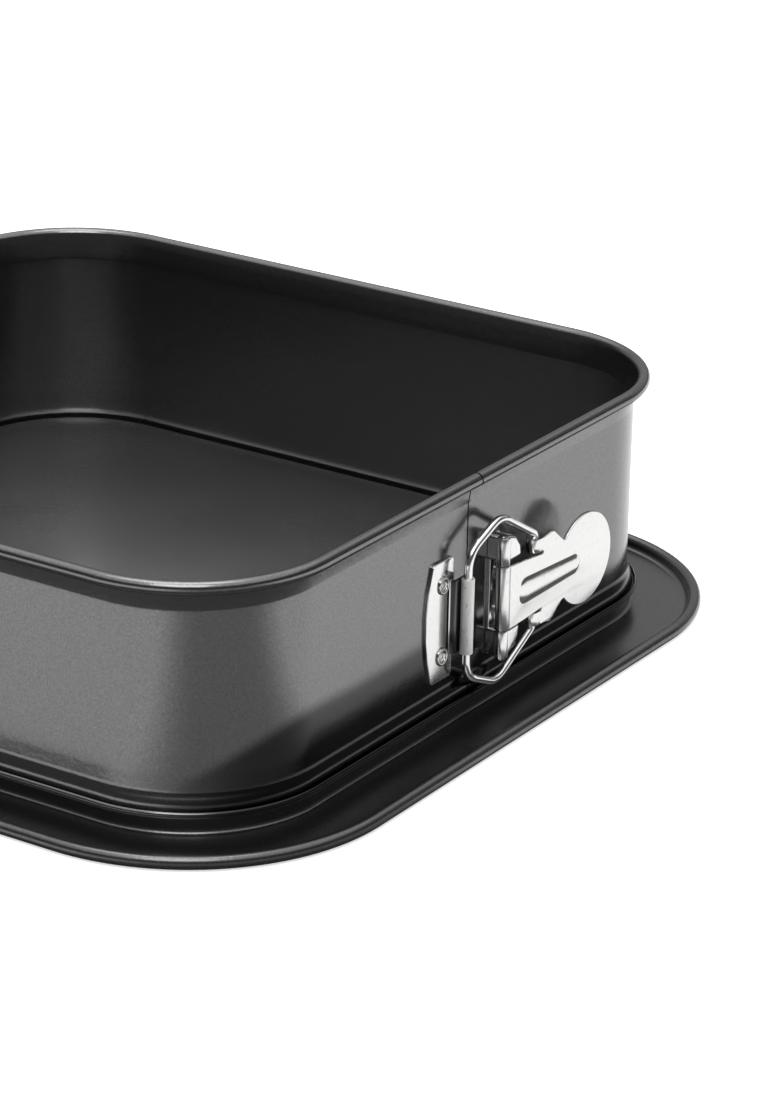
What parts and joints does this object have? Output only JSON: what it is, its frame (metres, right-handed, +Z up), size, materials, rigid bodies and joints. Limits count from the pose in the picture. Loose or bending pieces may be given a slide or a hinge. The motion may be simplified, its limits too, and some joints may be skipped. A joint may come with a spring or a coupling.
{
  "type": "springform pan",
  "caption": "Square springform baking pan: dark coated base plate with drip channel, lift-off ring with rolled rim and a side buckle that opens the ring.",
  "frame": {"origin": "centre of the base plate, on the plane the pan rests on", "axes": "+Z up out of the pan, +X out of the side that carries the buckle, +Y along that side from the catch towards the lever's thumb disc"},
  "size_m": [0.2876, 0.2876, 0.0749],
  "materials": {
    "nonstick": "dark grey metallic non-stick coating, semi gloss",
    "plated_steel": "bright plated steel with fine scratches",
    "rivet_steel": "bright plated steel",
    "wire_steel": "bright drawn wire"
  },
  "bodies": {
    "base": {"base_plate": "nonstick"},
    "ring": {"ring_band_back": "nonstick", "hinge_bracket": "plated_steel", "hinge_rivet_upper": "rivet_steel", "hinge_rivet_lower": "rivet_steel", "hinge_pin": "rivet_steel"},
    "ring_front": {"ring_band_front": "nonstick", "catch_plate": "plated_steel", "catch_rivet_upper": "rivet_steel", "catch_rivet_lower": "rivet_steel"},
    "lever": {"thumb_lever": "plated_steel"},
    "bail": {"bail_wire": "wire_steel"},
    "sleeve": {"bail_sleeve": "wire_steel"}
  },
  "joints": [
    {"name": "ring_lift", "type": "slide", "parent": "base", "child": "ring", "axis": [0, 0, 1], "range_m": [0, 0.09]},
    {"name": "lever_swing", "type": "hinge", "parent": "ring", "child": "lever", "pos_m": [0.126, 0.0092, 0.034], "axis": [0, 0, -1], "range_deg": [0, 140]},
    {"name": "ring_open", "type": "hinge", "parent": "ring", "child": "ring_front", "pos_m": [-0.0803, -0.1262, 0.034], "axis": [0, 0, -1], "range_deg": [0, 2.6]},
    {"name": "bail_swing", "type": "hinge", "parent": "lever", "child": "bail", "pos_m": [0.12642, 0.0253, 0.034], "axis": [0, 0, -1], "range_deg": [-152, 0]},
    {"name": "sleeve_spin", "type": "hinge", "parent": "bail", "child": "sleeve", "pos_m": [0.12517, -0.0084, 0.034], "axis": [0, 0, 1], "continuous": true}
  ],
  "couplings": [
    {"joint": "ring_open", "follows": "lever_swing", "ratio": 0.0178},
    {"joint": "bail_swing", "follows": "lever_swing", "ratio": -1.08}
  ]
}
